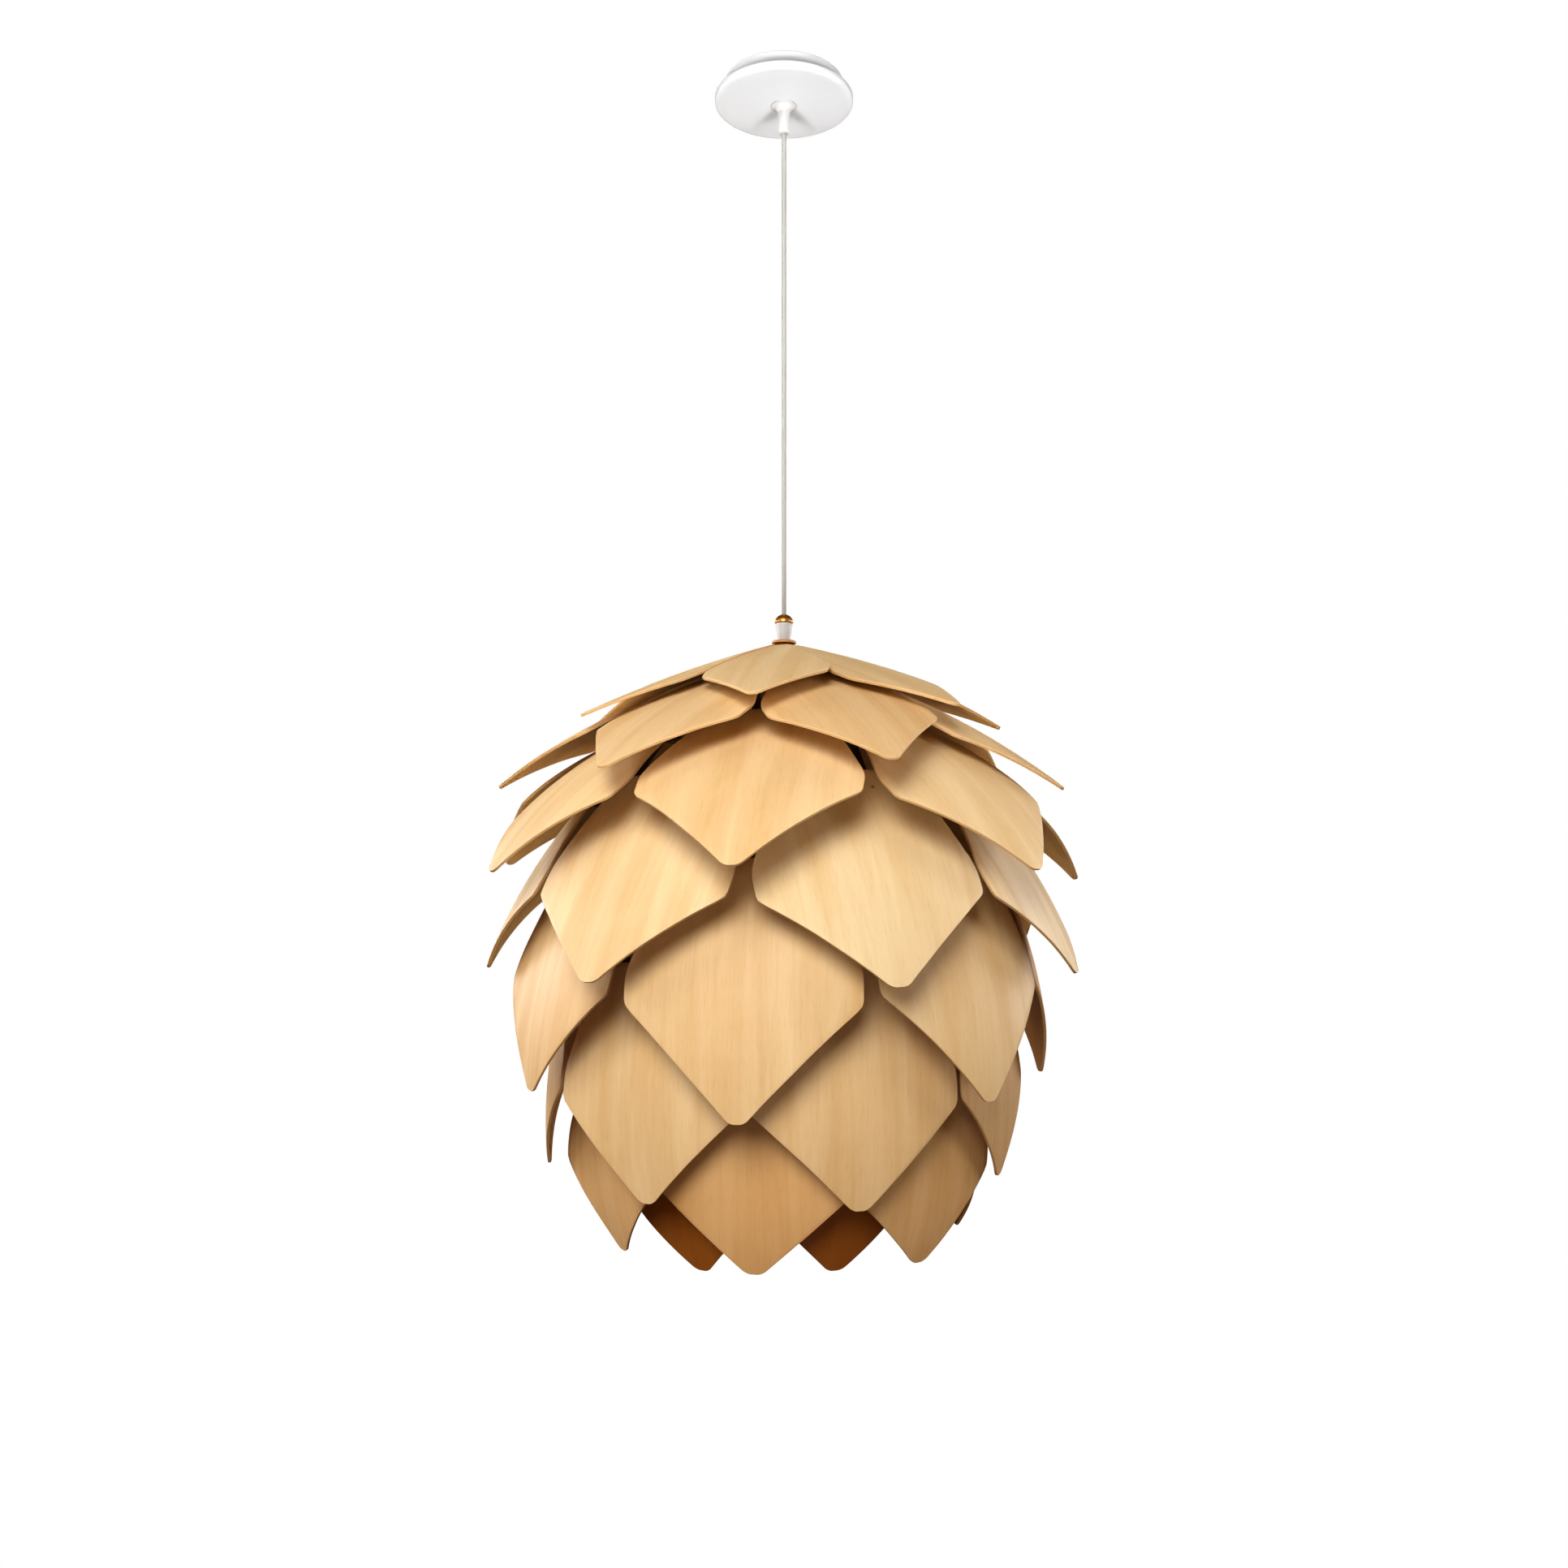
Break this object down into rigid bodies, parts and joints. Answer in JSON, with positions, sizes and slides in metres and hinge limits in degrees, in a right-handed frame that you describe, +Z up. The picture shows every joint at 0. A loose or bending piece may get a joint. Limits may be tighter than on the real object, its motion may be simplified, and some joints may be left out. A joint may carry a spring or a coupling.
{
  "type": "pendant lamp",
  "caption": "Pendant lamp with a round ceiling canopy, a taut cord and an egg-shaped shade of overlapping bent plywood petals.",
  "frame": {"origin": "centre of the ceiling plate's flat upper face, on the lamp's axis", "axes": "+Z up, along the cord towards the ceiling; -Y towards the viewer of the picture"},
  "size_m": [0.5021, 0.5055, 0.973],
  "materials": {
    "plywood": "satin oiled",
    "white_enamel": "matt white powder coat",
    "white_plastic": "moulded satin",
    "cord_sheath": "smooth round sheath",
    "brass": "polished",
    "zinc_steel": "zinc plated",
    "frame_steel": "matt dark brown powder coat",
    "opal_glass": "opal, satin"
  },
  "bodies": {
    "root": {"bottom_petal_ring": "plywood", "bulb_glass": "opal_glass", "bulb_screw_shell": "zinc_steel", "canopy_cover": "white_enamel", "canopy_grip": "white_plastic", "canopy_nut": "zinc_steel", "ceiling_plate": "zinc_steel", "cord": "cord_sheath", "domed_cap": "brass", "hub_nut": "zinc_steel", "lampholder": "white_plastic", "petal_2_1": "plywood", "petal_2_2": "plywood", "petal_2_3": "plywood", "petal_2_4": "plywood", "petal_2_5": "plywood", "petal_2_6": "plywood", "petal_2_7": "plywood", "petal_3_1": "plywood", "petal_3_2": "plywood", "petal_3_3": "plywood", "petal_3_4": "plywood", "petal_3_5": "plywood", "petal_3_6": "plywood", "petal_3_7": "plywood", "petal_4_1": "plywood", "petal_4_2": "plywood", "petal_4_3": "plywood", "petal_4_4": "plywood", "petal_4_5": "plywood", "petal_4_6": "plywood", "petal_4_7": "plywood", "petal_5_1": "plywood", "petal_5_2": "plywood", "petal_5_3": "plywood", "petal_5_4": "plywood", "petal_5_5": "plywood", "petal_5_6": "plywood", "petal_5_7": "plywood", "petal_6_1": "plywood", "petal_6_2": "plywood", "petal_6_3": "plywood", "petal_6_4": "plywood", "petal_6_5": "plywood", "petal_6_6": "plywood", "petal_6_7": "plywood", "petal_7_1": "plywood", "petal_7_2": "plywood", "petal_7_3": "plywood", "petal_7_4": "plywood", "petal_7_5": "plywood", "petal_7_6": "plywood", "petal_7_7": "plywood", "petal_rosette": "plywood", "shade_frame": "frame_steel", "shade_grip": "white_plastic", "terminal_block": "white_plastic", "threaded_tube": "zinc_steel", "top_washer": "plywood"}
  },
  "joints": []
}
